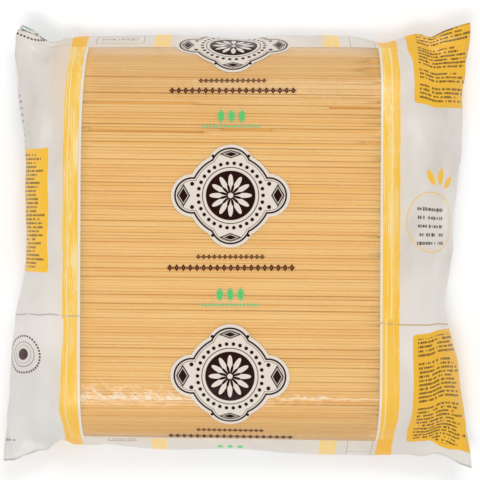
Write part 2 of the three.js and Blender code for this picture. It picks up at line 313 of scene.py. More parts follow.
outer = (ROWS - WINDOW_ROWS) // 2
row_v = np.concatenate([
    np.linspace(-HALF_TUBE, WINDOW_NEAR, outer + 1)[:-1],
    np.linspace(WINDOW_NEAR, WINDOW_FAR, WINDOW_ROWS + 1),
    np.linspace(WINDOW_FAR, HALF_TUBE, outer + 1)[1:],
])
even_v = np.linspace(-HALF_TUBE, HALF_TUBE, ROWS + 1)
first_window_row, last_window_row = outer, outer + WINDOW_ROWS


def even_shares(count):
    """Shares of the slope that are evenly spaced along its middle."""
    share = np.linspace(0, 1, 400)
    step = np.hypot(np.diff(share * SLOPE_LENGTH), np.diff(SLOPE_FALL * swell(share)))
    arc = np.concatenate([[0], np.cumsum(step)])
    return np.interp(np.linspace(0, arc[-1], count + 1), arc, share)


def end_rings(side):
    """The rings from the loaf's end out to the cut edge of the seal, each with its places round the tube."""
    made = []
    for share in even_shares(SLOPE_COLUMNS)[1:]:
        v = mix(row_v, even_v, share)
        made.append((on_slope(side, share, v), v))
    for share in np.linspace(0, 1, SEAL_COLUMNS + 1)[1:]:
        made.append((in_seal(side, share, even_v), even_v))
    return made


def loaf_rings():
    """The rings over the loaf, with two of them on the window's side edges."""
    left, right = window_edges(row_v)
    places = [mix(BLOCK_LEFT, left, step / MARGIN_COLUMNS) for step in range(MARGIN_COLUMNS)]
    places += [mix(left, right, step / WINDOW_COLUMNS) for step in range(WINDOW_COLUMNS)]
    places += [mix(right, BLOCK_RIGHT, step / MARGIN_COLUMNS) for step in range(MARGIN_COLUMNS + 1)]
    return [(over_loaf(x, tilted(row_v, x)), tilted(row_v, x)) for x in places]


rings = end_rings(-1)[::-1] + loaf_rings() + end_rings(1)
bent = np.array([np.stack(np.broadcast_arrays(*point), 1) for point, v in rings])
flat_v = np.array([v for point, v in rings])
COLUMNS = len(rings) - 1
first_loaf_column = SLOPE_COLUMNS + SEAL_COLUMNS
last_loaf_column = COLUMNS - first_loaf_column
first_window_column = first_loaf_column + MARGIN_COLUMNS
last_window_column = last_loaf_column - MARGIN_COLUMNS
print(COLUMNS, "columns by", ROWS, "rows span", bent.min((0, 1)).round(1), bent.max((0, 1)).round(1), "mm")

# %% [markdown]
# ## Coordinates for the print
#
# Print is laid on the flat film before the bag is made, so it needs the film's own coordinates: u along
# the tube and v round it, both in millimetres from the middle of the front. Unwrapping the finished mesh
# would give islands with seams, so u is counted along each row as true length, out from the window.

# %% Both coordinates of every corner
left, right = window_edges(flat_v)
x = bent[:, :, 0]
flat_u = -WINDOW_HALF + (x - left) * 2 * WINDOW_HALF / (right - left)
flat_u = np.where(x < left, x - left - WINDOW_HALF, flat_u)
flat_u = np.where(x > right, x - right + WINDOW_HALF, flat_u)
step = np.linalg.norm(np.diff(bent, axis=0), axis=2)
for column in range(first_loaf_column - 1, -1, -1):
    flat_u[column] = flat_u[column + 1] - step[column]
for column in range(last_loaf_column + 1, COLUMNS + 1):
    flat_u[column] = flat_u[column - 1] + step[column - 1]
print("u runs from", flat_u.min().round(1), "to", flat_u.max().round(1), "mm")

# %% [markdown]
# ## Folds, crimps and slack
#
# Thin film can't stretch, so wherever the bag narrows it folds. The folds run from the loaf's corners to
# the ears and along the pull between them. Each is a straight ridge or valley on the flat film that fades
# at both ends. Broad waves add slack elsewhere, and the seals get the ridges that the sealing jaws press
# in. A cloth simulation would find folds by itself, but not where they are wanted, and they would lift the
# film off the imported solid.

# %% How far each corner of the film moves along its normal
CREASES = [
    # left end: (u, v) of both ends of the fold, its height and its width
    ((-190, 186), (-144, 126), 1.5, 5), ((-176, 184), (-140, 150), -1.3, 4),
    ((-192, 168), (-160, 112), -0.9, 6), ((-168, 190), (-136, 176), 1.1, 3),
    ((-190, -186), (-146, -140), 1.3, 5), ((-160, -192), (-150, -132), -1.8, 4),
    ((-176, -190), (-160, -150), 0.9, 4), ((-196, -160), (-168, -96), -0.8, 7),
    ((-194, 60), (-150, 20), 0.5, 8), ((-200, 20), (-156, -40), -0.5, 8),
    ((-196, -30), (-150, -66), 0.5, 7), ((-196, 120), (-152, 84), 0.6, 8),
    # right end
    ((148, 192), (160, 152), 1.3, 3.5), ((156, 190), (176, 176), -1.4, 3),
    ((164, 192), (200, 168), 1.2, 3.5), ((176, 190), (214, 182), -1, 3), ((150, 176), (184, 162), 0.8, 3),
    ((190, 186), (206, 130), -0.8, 6), ((146, -190), (158, -140), -1.3, 4),
    ((160, -186), (216, -190), 1.5, 4), ((150, -176), (190, -150), 0.9, 5),
    ((206, -176), (186, -110), 0.8, 6), ((210, -52), (164, -40), -1.1, 5), ((210, -60), (170, -84), 0.8, 5),
    ((206, -46), (176, -10), 0.7, 6), ((206, 40), (160, 60), 0.5, 8), ((208, 96), (160, 70), -0.6, 8),
    # under film
    ((-200, 230), (-140, 260), 1, 6), ((200, 232), (140, 262), 1, 6),
    ((-200, -228), (-140, -262), 1, 6), ((200, -230), (140, -260), 1, 6),
]
CREASE_GAIN = 1.3
CRIMP_PITCH, CRIMP_HEIGHT, CRIMP_FADE = 2.8, 0.2, 4
RIPPLES, RIPPLE_HEIGHT = 14, 0.011
EDGE_FADE = (0, 0.35, 0.7, 1)  # the cut edge stays shut, and the next rings move more and more
LOWEST = 0.3
seal_from = np.where(flat_u < 0, flat_u[SEAL_COLUMNS], flat_u[-1 - SEAL_COLUMNS])
in_hem = np.clip((np.abs(flat_u) - np.abs(seal_from)) / CRIMP_FADE, 0, 1)
past_loaf, below_bag = smoothstep(128, 150, np.abs(flat_u)), smoothstep(290, 360, np.abs(flat_v))
on_ends = past_loaf * (1 - in_hem * 0.75) * (1 - below_bag)

push = np.zeros_like(flat_u)
for (u0, v0), (u1, v1), height, width in CREASES:
    reach = math.hypot(u1 - u0, v1 - v0)
    along_u, along_v = (u1 - u0) / reach, (v1 - v0) / reach
    t = np.clip(((flat_u - u0) * along_u + (flat_v - v0) * along_v) / reach, 0, 1)
    away = np.hypot(flat_u - mix(u0, u1, t), flat_v - mix(v0, v1, t))
    fold = np.exp(-np.hypot(away, 0.8) / width) * np.sin(math.pi * (0.12 + 0.76 * t))
    push += CREASE_GAIN * height * fold * on_ends

rng = np.random.default_rng(7)
for wave in range(RIPPLES):
    length, angle, phase = rng.uniform(26, 70), rng.uniform(-0.7, 0.7), rng.uniform(0, math.tau)
    ripple = np.sin((flat_v * math.cos(angle) + flat_u * math.sin(angle)) * math.tau / length + phase)
    push += RIPPLE_HEIGHT * length / math.sqrt(RIPPLES) * ripple * on_ends

edge_fade = np.ones(COLUMNS + 1)
edge_fade[:4], edge_fade[-4:] = EDGE_FADE, EDGE_FADE[::-1]
crimp = CRIMP_HEIGHT * np.sin((np.abs(flat_u) - np.abs(seal_from)) * math.tau / CRIMP_PITCH) * in_hem
upper = np.abs(flat_v) <= QUARTER + 0.1
push = (push * (1 - in_hem) + np.where(upper, 1, -1) * (crimp + push * in_hem)) * edge_fade[:, None]

down = np.gradient(bent, axis=0)
round_film = np.gradient(bent, axis=1)
normal = np.cross(down, round_film)
normal /= np.maximum(np.linalg.norm(normal, axis=2, keepdims=True), 1e-9)
normal[:, 0] = normal[:, -1] = (0, 0, -1)
bent += normal * push[:, :, None]
bent[:, :, 2] = np.maximum(bent[:, :, 2], LOWEST)
print("folds move the film by", push.min().round(2), "to", push.max().round(2), "mm")

# %% Bend the grid and weld its seams
WELD = 0.02
film = bmesh.new()
bmesh.ops.create_grid(film, x_segments=COLUMNS, y_segments=ROWS, size=1)
print_map = film.loops.layers.uv.new("print")
bake_map = film.loops.layers.uv.new("OFBake")
window_tag = film.faces.layers.int.new("window")
low_u, high_u = flat_u.min(), flat_u.max()
for face in film.faces:
    middle = face.calc_center_median()
    column, row = (middle.x + 1) / 2 * COLUMNS, (middle.y + 1) / 2 * ROWS
    inside = first_window_column < column < last_window_column and first_window_row < row < last_window_row
    face[window_tag] = int(inside)
    face.smooth = True
for vertex in film.verts:
    column = round((vertex.co.x + 1) / 2 * COLUMNS)
    row = round((vertex.co.y + 1) / 2 * ROWS)
    vertex.co = bent[column, row] * MM
    u, v = flat_u[column, row], flat_v[column, row]
    for loop in vertex.link_loops:
        loop[print_map].uv = (u * MM, v * MM)
        loop[bake_map].uv = ((u - low_u) / (high_u - low_u), v / ROUND + 0.5)
bmesh.ops.remove_doubles(film, verts=film.verts, dist=WELD * MM)
bmesh.ops.recalc_face_normals(film, faces=film.faces)
if film.calc_volume(signed=True) < 0:
    bmesh.ops.reverse_faces(film, faces=film.faces)
open_edges = sum(len(edge.link_faces) != 2 for edge in film.edges)
litres = round(film.calc_volume() * 1000, 2)
print(len(film.faces), "faces of film,", open_edges, "open edges, room for", litres, "litres")

# %% [markdown]
# ## Two films from one
#
# The window and the printed film are one sheet on the real bag. They are two pieces here because one is
# clear plastic and the other is covered with ink, and a parts library keeps one material for each piece.
# The cut runs along rows and columns that already lie on the window's edge.

# %% Cut the window out
def to_object(name, mesh_data):
    mesh = bpy.data.meshes.new(name)
    mesh_data.to_mesh(mesh)
    mesh_data.free()
    made = bpy.data.objects.new(name, mesh)
    bpy.context.collection.objects.link(made)
    print(name, "has", len(mesh.polygons), "faces")
    return made


window = film.copy()
tag = window.faces.layers.int["window"]
bmesh.ops.delete(window, geom=[face for face in window.faces if not face[tag]], context="FACES")
bmesh.ops.delete(film, geom=[face for face in film.faces if face[window_tag]], context="FACES")
film_window = to_object("film_window", window)
film_printed = to_object("film_printed", film)

# %% [markdown]
# ## The strands
#
# The strands are real sticks, 2.4 mm thick, side by side in layers that follow the loaf's section. One
# blank stick is modelled, copied for every place, and the copies are bent as arrays of points. Every
# strand has its own thickness, lift, lean and bow, and the grooves between neighbours are never even: a row
# of equal sticks would look like a moulded ribbed sheet.

# %% One blank strand
STRAND_DIAMETER = 2.4
STRAND_SIDES, STRAND_PARTS = 10, 14


def pull(mesh_data, faces, way):
    """Extrude faces once; the faces at the new end come back."""
    pulled = bmesh.ops.extrude_face_region(mesh_data, geom=faces)["geom"]
    moved = [item for item in pulled if isinstance(item, bmesh.types.BMVert)]
    bmesh.ops.translate(mesh_data, verts=moved, vec=way)
    return [item for item in pulled if isinstance(item, bmesh.types.BMFace)]


blank = bmesh.new()
bmesh.ops.create_circle(blank, cap_ends=True, segments=STRAND_SIDES, radius=0.5)
end_face = list(blank.faces)
for part in range(STRAND_PARTS):
    end_face = pull(blank, end_face, (0, 0, 1 / STRAND_PARTS))
flat = [face for face in blank.faces if abs(face.normal.z) > 0.9]
walls = [face for face in flat if 0.001 < face.calc_center_median().z < 0.999]
bmesh.ops.delete(blank, geom=walls, context="FACES_ONLY")
bmesh.ops.recalc_face_normals(blank, faces=blank.faces)
blank_mesh = bpy.data.meshes.new("blank")
blank.to_mesh(blank_mesh)
blank.free()
print("a strand has", len(blank_mesh.vertices), "points and", len(blank_mesh.polygons), "faces")

# %% Every strand's place
STRANDS_NEAR, STRANDS_FAR = -188, 187
STRAND_PITCH, PITCH_SPREAD = 2.44, 0.26
LAYERS, LAYER_DROP, LIFT_SPREAD = 3, 1.7, 0.32
LAYER_MARK = 1000
RAGGED_SHARE, RAGGED_REACH = 0.4, 9  # how many strands end short, and by how much at most
SHORT_CORNER, SHORT_REACH = 141, 19  # past this place they end shorter still
UNDER_PRINT = 128  # an end that the printed film hides
BROKEN = [
    # each piece of a broken strand: its place, and where it starts and ends
    (118, -36, UNDER_PRINT), (115, BLOCK_LEFT, 77), (97, -123, -13), (97, 29, UNDER_PRINT),
    (94, -28, UNDER_PRINT), (87, BLOCK_LEFT, 105), (-61, BLOCK_LEFT, 92),
]


def draw(number, salt):
    """A repeatable random number from 0 to 1 for each strand."""
    return (math.sin(number * 127.1 + salt * 311.7) * 43758.5453) % 1


count = int((STRANDS_FAR - STRANDS_NEAR) / STRAND_PITCH)
strands = []
for layer in range(LAYERS):
    for row in range(count):
        mark = row + LAYER_MARK * layer
        step = row + 0.5 + 0.5 * (layer % 2) + PITCH_SPREAD * (draw(mark, 5) - 0.5)
        place = STRANDS_NEAR + step * STRAND_PITCH
        lift = LIFT_SPREAD * draw(mark, 4) - layer * LAYER_DROP
        pieces = [(BLOCK_LEFT, UNDER_PRINT)]
        if layer == 0:
            ragged = RAGGED_REACH * draw(mark, 2) if draw(mark, 1) < RAGGED_SHARE else 0
            short = SHORT_REACH * draw(mark, 3) if place > SHORT_CORNER else 0
            if ragged + short > 0:
                pieces = [(BLOCK_LEFT, BLOCK_RIGHT - ragged - short)]
            pieces = [piece[1:] for piece in BROKEN if abs(piece[0] - place) <= STRAND_PITCH / 2] or pieces
        strands += [(start, stop, place, lift, mark) for start, stop in pieces]
print(len(strands), "strands in", LAYERS, "layers")

# %% Copy the blank and bend the copies
STRAND_SPREAD = 1.1  # each strand is made this much wider than high, so that neighbours touch
STRAND_SLANT, SLANT_FROM = math.tan(math.radians(-0.7)), -5
joined = bmesh.new()
for strand in strands:
    joined.from_mesh(blank_mesh)
spaghetti = to_object("spaghetti_strands", joined)
points = np.zeros(len(spaghetti.data.vertices) * 3)
spaghetti.data.vertices.foreach_get("co", points)
points = points.reshape(len(strands), -1, 3)
start, stop, place, lift, mark = (np.array(column)[:, None] for column in zip(*strands))


def chance(salt):
    return np.array([draw(number, salt) for number in mark[:, 0]])[:, None]


thick = STRAND_DIAMETER * (0.97 + 0.07 * chance(6))
x = start + (stop - start) * points[:, :, 2]
bow = 0.3 * (chance(7) - 0.5) * np.sin(x * 0.012 + 6.3 * chance(8))
bow = bow + 0.4 * (chance(9) - 0.5) * x / abs(BLOCK_LEFT)
lean = 0.12 * np.sin(x * 0.021 + 6.3 * chance(10))
y, z = on_section(place)
out, up = outward(place)
aside = STRAND_SLANT * (x - SLANT_FROM) + bow + points[:, :, 1] * thick * STRAND_SPREAD
height = lift - thick / 2 + lean - 0.2 + points[:, :, 0] * thick
side = np.where(place > 0, far_side(x) - FAR_REACH, near_side(x) + NEAR_REACH) * bulge(place)
bent_points = np.stack([x, y + side + aside * up + height * out, z - aside * out + height * up], 2)
spaghetti.data.vertices.foreach_set("co", (bent_points * MM).ravel())
tone = spaghetti.data.attributes.new("tone", "FLOAT", "POINT")
# the layers below get a value 1 lower, which the pasta shader paints as warm shade in the grooves
tones_and_groove_shade = np.repeat(chance(11) - (mark >= LAYER_MARK), points.shape[1], 1)
tone.data.foreach_set("value", tones_and_groove_shade.ravel())
is_side = [len(face.vertices) == 4 for face in spaghetti.data.polygons]
spaghetti.data.polygons.foreach_set("use_smooth", is_side)
spaghetti.data.update()
print("the strands are", thick.min().round(2), "to", thick.max().round(2), "mm thick")

# %% The bed below the layers that show
BED_INSET, BED_SHORT = LAYERS * LAYER_DROP + 0.6, 1.5
BED_SIDES = 240
core = bmesh.new()
bmesh.ops.create_circle(core, cap_ends=True, segments=BED_SIDES, radius=1)
face = core.faces[:][0]
for number, vertex in enumerate(face.verts):
    place = number / BED_SIDES * ROUND
    y, z = on_section(place)
    out, up = outward(place)
    vertex.co = (BLOCK_LEFT * MM, (y - out * BED_INSET) * MM, (z - up * BED_INSET) * MM)
pull(core, [face], ((BLOCK_RIGHT - BLOCK_LEFT - BED_SHORT) * MM, 0, 0))
bmesh.ops.recalc_face_normals(core, faces=core.faces)
bed = to_object("spaghetti_bed", core)

# %% [markdown]
# ## Drawing the print with numbers
#
# The ink is drawn by the shaders themselves, from the coordinates of the flat film. Every motif is a
# signed distance: a number of millimetres that is negative inside the motif. Distances can be joined,
# hollowed and repeated with plain arithmetic, and a soft step turns one into ink with a printed edge. An
# image would be easier to paint, but it has one resolution, and these edges stay sharp in any close-up.

# %% Numbers that vary over a surface
def operator(operation):
    """A method that does one operation on a field, or on a field and a number."""
    return lambda *values: field(operation, *values)


class Field:
    """A number that varies over a surface. Arithmetic on fields adds math nodes to the tree in hand."""

    tree = None
    __add__ = __radd__ = operator("ADD")
    __mul__ = __rmul__ = operator("MULTIPLY")
    __sub__ = operator("SUBTRACT")
    __truediv__ = operator("DIVIDE")
    __gt__ = operator("GREATER_THAN")
    __lt__ = operator("LESS_THAN")
    __abs__ = operator("ABSOLUTE")

    def __init__(self, socket):
        self.socket = socket

    def __rsub__(self, other):
        return field("SUBTRACT", other, self)


def plug(value, socket):
    """Link a field, or set a plain number or colour."""
    if isinstance(value, Field):
        Field.tree.links.new(value.socket, socket)
    else:
        socket.default_value = value


def new_node(kind, *values, output=0, **named):
    """One output of a new node; a lower-case name is a setting, any other a socket, with _ for a blank."""
    node = Field.tree.nodes.new("ShaderNode" + kind)
    for name, value in named.items():
        if name.islower():
            setattr(node, name, value)
        else:
            plug(value, node.inputs[name.replace("_", " ")])
    for value, socket in zip(values, node.inputs):
        plug(value, socket)
    return Field(node.outputs[output])


def field(operation, *values, clamp=False):
    return new_node("Math", *values, operation=operation, use_clamp=clamp)


def most(first, *others):
    for other in others:
        first = field("MAXIMUM", first, other)
    return first


def least(first, *others):
    for other in others:
        first = field("MINIMUM", first, other)
    return first


def far_from(u, v):
    """The distance from u = v = 0."""
    return field("SQRT", u * u + v * v)


def repeat(value, pitch):
    """The value counted from the nearest whole number of pitches."""
    return field("WRAP", value, pitch / 2, -pitch / 2)


def ramp(low, high, value):
    """0 below low and 1 above high; low may be the greater one."""
    ends = (min(low, high), max(low, high), float(low > high), float(low < high))
    return new_node("MapRange", value, *ends, interpolation_type="SMOOTHSTEP")


def ink(distance, soft=0.4):
    """1 inside a motif and 0 outside it, over a soft printed edge."""
    return field("MULTIPLY_ADD", distance, -1 / soft, 0.5, clamp=True)


# %% Chance, colours and materials
def noise(u, v, detail=2, salt=0):
    """A soft random number round 0.5 that changes over about one unit of u and v."""
    return new_node("TexNoise", Vector=new_node("CombineXYZ", u, v, salt), Scale=1, Detail=detail)


def lot(u, v, salt=0):
    """A random number from 0 to 1 for every whole pair u, v."""
    return new_node("TexWhiteNoise", new_node("CombineXYZ", field("FLOOR", u), field("FLOOR", v), salt))


def layered(base, *layers):
    """Colours laid over each other: every layer is (mask, colour)."""
    for mask, colour in layers:
        mixed = new_node("Mix", mask, data_type="RGBA", output=2)
        plug(base, mixed.socket.node.inputs[6])
        plug(colour, mixed.socket.node.inputs[7])
        base = mixed
    return base


def srgb(*levels):
    """A colour given as 0 to 255, in the linear numbers that the shader wants."""
    shares = [level / 255 for level in levels]
    return (*(((c + 0.055) / 1.055) ** 2.4 if c > 0.04 else c / 12.92 for c in shares), 1)


def bump(height, distance):
    """A bent normal from a height field; distance is the height of 1, in millimetres."""
    return new_node("Bump", Strength=1, Distance=distance * MM, Height=height)


def parts_of(place, count):
    """The first parts of a place that is in metres, as fields in millimetres."""
    parts = new_node("SeparateXYZ", place).socket.node.outputs
    return [Field(part) * (1 / MM) for part in parts[:count]]


def film_coordinates():
    """u and v of the flat film."""
    return parts_of(new_node("UVMap", uv_map="print"), 2)


def new_material(name):
    """An empty material, whose tree is the one in hand from here on."""
    material = bpy.data.materials.new(name)
    material.use_nodes = True
    Field.tree = material.node_tree
    Field.tree.nodes.clear()
    return material


def tell(drawn):
    print("with", drawn, "the material has", len(Field.tree.nodes), "nodes")


def finish_material(material, surface, *pieces):
    """Give the material its surface, and lay it on the pieces."""
    plug(surface, Field.tree.nodes.new("ShaderNodeOutputMaterial").inputs[0])
    for piece in pieces:
        piece.data.materials.append(material)
    tell("all of " + material.name)


# %% Distances to simple shapes
def box(u, v, middle, half, corner=0.0):
    across, along = abs(u - middle[0]) - (half[0] - corner), abs(v - middle[1]) - (half[1] - corner)
    if not corner:
        return most(across, along)
    return far_from(most(across, 0), most(along, 0)) - corner


def lozenge(u, v, wide, tall):
    return (abs(u) * (1 / wide) + abs(v) * (1 / tall) - 1) * (0.7 * min(wide, tall))


def leaf(u, v, wide, tall):
    """A pointed leaf standing along v: where two discs overlap."""
    radius = (wide**2 + tall**2) / (2 * wide)
    return far_from(abs(u) + (radius - wide), v) - radius


def turned(u, v, degrees):
    c, s = math.cos(math.radians(degrees)), math.sin(math.radians(degrees))
    return u * c + v * s, v * c - u * s


def ring(distance, wide):
    return abs(distance) - wide / 2


def greeked(u, v, pitch, tall, letter, salt):
    """Rows that only look like writing: uneven dashes, with one missing here and there."""
    row = v / pitch
    u = u + noise(u / letter / 2, field("FLOOR", row), 0, salt) * letter * 2.5
    cell = u / letter
    body = ink(abs(repeat(v - pitch / 2, pitch)) - tall * (0.3 + 0.2 * lot(cell, row, salt + 20)), 0.5)
    stroke = ink(abs(repeat(u - letter / 2, letter)) - letter * 0.36, 0.4)
    return body * stroke * (lot(cell, row, salt) > 0.17)


# %% [markdown]
# ## The motifs
#
# The same front print repeats every 149.4 mm round the tube, and so do the side panels at twice that.
# The badge is a lobed off-white ground with a brown rosette, a ring of beads and lozenges in its lobes.
# Under it come two bars of lozenges and dots in brown, and a row of leaves and dots in green. All of
# them are plain ornaments: the print carries no word, name or mark.

# %% Inks
OFF_WHITE = srgb(222, 211, 199)
BROWN = srgb(34, 4, 0)
BAR_BROWN = srgb(84, 24, 0)
GREEN = srgb(96, 200, 112)
HALO = srgb(226, 232, 210)
FILM_WHITE = srgb(215, 208, 200)
YELLOW = srgb(240, 188, 56)
PANEL_YELLOW = srgb(234, 178, 38)
PALE = srgb(240, 220, 165)
LIGHT_YELLOW = srgb(247, 211, 120)
SCRIPT = srgb(52, 28, 4)
GREY_BROWN = srgb(98, 88, 78)

FRONT_REPEAT, FRONT_TOP = 149.4, 92.3
BADGE_AT, SMALL_BAR_AT, LARGE_BAR_AT, LEAVES_AT, DOTS_AT = 41.3, -9.4, -18.4, -40.5, -49.1
BEADS, PETALS = 30, 12
print("the front print goes", round(ROUND / FRONT_REPEAT, 1), "times round the tube")


# %% The badge
def badge(u, v):
    """The ground and the brown drawing of the badge, as two masks."""
    r = far_from(u, v)
    lobes = least(
        r - 36.5,
        far_from(abs(u) - 31.5, v) - 17.8,
        far_from(u, abs(v) - 23.5) - 19.6,
    )
    angle = field("ARCTAN2", v, u)
    petal = r - 17.5 * (0.34 + 0.66 * abs(field("COSINE", angle * (PETALS / 2))))
    inner = r - 9.5 * (0.3 + 0.7 * abs(field("SINE", angle * (PETALS / 2))))
    bead = far_from(repeat(angle, math.tau / BEADS) * 26.8, r - 26.8) - 1.55
    side = lozenge(abs(u) - 39, v, 5.6, 9.5)
    top = lozenge(u, abs(v) - 34.6, 9.5, 3.6)
    drawing = most(
        ink(ring(lobes + 3.4, 1.5)),
        ink(ring(lobes + 5.4, 0.4)),
        ink(r - 20.5) * (1 - ink(petal)),
        ink(inner) * (1 - ink(r - 2.2)),
        ink(ring(r - 23.2, 0.7)),
        ink(bead),
        ink(side) * (1 - ink(ring(side + 1.1, 0.4))),
        ink(top) * (1 - ink(ring(top + 0.9, 0.35))),
        ink(far_from(abs(u) - 31.8, abs(v) - 9.6) - 1.7),
        ink(far_from(abs(u) - 14.8, abs(v) - 33.0) - 1.3),
    )
    return ink(lobes), drawing


# %% Bars of ornament and the green row
def bar(u, v, half, tall, pitch):
    """A bar of open lozenges with a dot between neighbours."""
    loz = lozenge(repeat(u, pitch), v, pitch * 0.4, tall * 0.52)
    dot = far_from(repeat(u - pitch / 2, pitch), v) - tall * 0.14
    return most(ink(loz) * (1 - ink(loz + tall * 0.23)), ink(dot)) * ink(abs(u) - half)


def green_row(u, v):
    """The distance to three leaves over a row of dots."""
    leaves = leaf(repeat(u, 8.6), v - LEAVES_AT, 2.7, 5.2)
    leaves = most(leaves, abs(u) - 12.9)
    dots = far_from(repeat(u, 2.9), v - DOTS_AT) - 0.95
    return least(leaves, most(dots, abs(u) - 24.5))


def front_print(u, v):
    """The layers of the front print, in their order, and where they cover the film."""
    copy = field("WRAP", v, FRONT_TOP, FRONT_TOP - FRONT_REPEAT)
    ground, drawing = badge(u, copy - BADGE_AT)
    small = bar(u, copy - SMALL_BAR_AT, 28.5, 4.3, 4.4)
    large = bar(u - 0.5, copy - LARGE_BAR_AT, 53, 5.9, 5.6)
    green = green_row(u, copy)
    bars = most(small, large)
    halo = ink(green - 0.55)
    layers = [(ground, OFF_WHITE), (drawing, BROWN), (bars, BAR_BROWN)]
    layers += [(halo * 0.55, HALO), (ink(green), GREEN)]
    return layers, most(ground, bars * 0.93, halo * 0.5, ink(green) * 0.9)


def pulled(u, v):
    """v as printed: the web was pulled askew near one side and stretched over the other."""
    stretch = ramp(60, 105, v) * 1.7 + ramp(146, 205, v) * 10.5
    skew = ramp(-50, -190, v) * 0.031
    return v + stretch + skew * most(least(u, 150), -150)


# %% [markdown]
# ## The dry spaghetti
#
# Semolina dough pressed through a bronze die is matt and slightly rough, so light sinks in and comes back
# warm. Each strand is a little lighter or darker at random, and a faint grain runs along it. The layers
# below, seen only in the grooves, get a deeper colour as painted warm shade, and every strand gets painted
# light at its ends, beside the white film, where the printed film shades it.

# %% Pasta
pasta = new_material("dry_pasta")
along, side, high = parts_of(new_node("TexCoord", output="Object"), 3)
tone = new_node("Attribute", attribute_name="tone", output="Fac")
grain = noise(along * 0.03, side * 1.4 + high * 1.1, 3)
patch = noise(along * 0.012, side * 0.05, 2, 7)
value = tone * 0.5 + grain * 0.6 + patch * 0.55
dough_with_painted_light_and_shade = layered(
    srgb(245, 197, 119),
    (ramp(0.35, 1.25, value), srgb(252, 219, 152)),
    # painted warm shade: the layers below, seen only in the grooves, get a deeper colour
    (ramp(0.1, -0.1, tone), srgb(250, 202, 112)),
    # painted light at the strand ends, where the printed film's shadow falls on them
    (ramp(113, 123, abs(along)) * 0.7, srgb(255, 213, 136)),
)
rough = bump(noise(along * 0.5, side * 6 + high * 5, 3), 0.05)
body = new_node("BsdfPrincipled", Base_Color=dough_with_painted_light_and_shade, Roughness=0.55, Specular_IOR_Level=0.35, Normal=rough)
finish_material(pasta, body, spaghetti, bed)

# %% [markdown]
# ## The clear window
#
# The film itself is hardly seen: it is a mix of nothing and a thin gloss that grows at a glancing angle.
# A thin milky veil lies over all of it. Into that veil go painted light where the printed film shades the
# pasta, along the rims, over the left and right ends and at the near edge; a painted sheen under the far
# edge; and painted shade over the far shoulder and toward the near edge. The ink on it is solid, and is laid
# over the same film.
#
# Above the near shoulder the film is pulled over a fold, and catches the light there in a thin thread with
# torn flames over it. A lamp alone gives them no sharp edge, so they are laid on as a pale veil.

# %% Crinkles that both films share
def crinkles(u, v):
    """The film's small folds, as a height: thin ridges that wander over it."""
    warp = noise(u * 0.04, v * 0.04, 1, 3) * 14
    return ring(noise((u + warp) * 0.055, (v - warp) * 0.055, 3) - 0.5, 0)


# %% Window film: the glare on its fold
GLARE_AT = -127.5
clear = new_material("clear_window_film")
u, v = film_coordinates()
layers, cover = front_print(u, pulled(u, v))
height = v - GLARE_AT + (noise(u * 0.06, 3, 2, 5) - 0.5) * 5
reach = most((noise(u * 0.075, 0, 3, 9) - 0.36) * (72 - ramp(0, 30, u) * 46), 2.5)
torn = noise(u * 0.2 + v * 0.26, v * 0.13 - u * 0.04, 3, 13)
where_torn = most(ramp(-18, -44, u), ramp(40, 46, u) * ramp(104, 80, u))
flames = ramp(1.05, 0.35, height / reach + (torn - 0.5) * 1.6) * ramp(-1, 0.6, height) * where_torn
thread = ink(ring(height, 0.9), 1.4) * ramp(0.35, 0.5, noise(u * 0.09, 0, 2, 4))
where_thread = most(ramp(38, 50, u), ramp(0, -24, u))
glare = most(flames * (0.14 + 0.8 * ramp(0.44, 0.64, torn)), thread * where_thread)
tell("the glare")

# %% Window film: the milky veil, with painted light and shade
MILKY = 0.14
near = WINDOW_NEAR - v - u * (NEAR_TILT / BLOCK_RIGHT)
aside = abs(u) - WINDOW_HALF
# Painted light over the pasta where the printed film shades it: its left and right ends, the near edge and a
# thin rim along every edge.
ends, near_edge_painted_light = ramp(-9, 0, aside), ramp(-9, 0, near)
rim_painted_light = ramp(-1.1, 0, most(aside, v - WINDOW_FAR, near))
# Painted sheen under the far edge, which also lifts the shadow of the printed strip there.
far_painted_sheen = ramp(100, 176, v) * 0.14 + ramp(160, 179, v) * 0.26
far_painted_sheen = far_painted_sheen * ramp(0, 0.5, noise(u * 0.02, v * 0.05, 3, 6))
# Painted shade toward the near edge, where the film turns down.
near_painted_shade = ramp(-118, WINDOW_NEAR, v)
film_mist_and_painted_light_and_shade = most(MILKY + far_painted_sheen, glare * 0.8, MILKY + near_painted_shade * 0.2, rim_painted_light * 0.6, MILKY + ends * 0.1, near_edge_painted_light * 0.6)
veil_colour_with_painted_light_and_shade = layered(
    srgb(226, 188, 124),
    # painted shade over the far shoulder
    (ramp(60, 110, v), srgb(190, 144, 84)),
    (ramp(0, 0.3, far_painted_sheen), srgb(234, 213, 186)),
    (near_painted_shade, srgb(206, 172, 122)),
    (ends, srgb(250, 208, 146)),
    (near_edge_painted_light, srgb(226, 200, 166)),
    (ramp(0, 0.25, glare), srgb(255, 238, 204)),
    (ramp(0, 0.5, rim_painted_light), srgb(255, 228, 182)),
)
colour = layered(veil_colour_with_painted_light_and_shade, *layers)
tell("the milky veil")

# %% Window film: nothing, gloss and ink
FILM_IOR = 1.45
bend = bump(crinkles(u, v), 1.1)
gloss = new_node("BsdfGlossy", Color=(1, 1, 1, 1), Roughness=0.14, Normal=bend)
glancing = new_node("Fresnel", IOR=FILM_IOR, Normal=bend) * (0.6 - ramp(60, 110, v) * 0.22)
bare = new_node("MixShader", glancing, new_node("BsdfTransparent"), gloss)
inked = new_node("BsdfPrincipled", Base_Color=colour, Roughness=0.35, Specular_IOR_Level=0.1, Normal=bend)
finish_material(clear, new_node("MixShader", most(cover, film_mist_and_painted_light_and_shade), bare, inked), film_window)
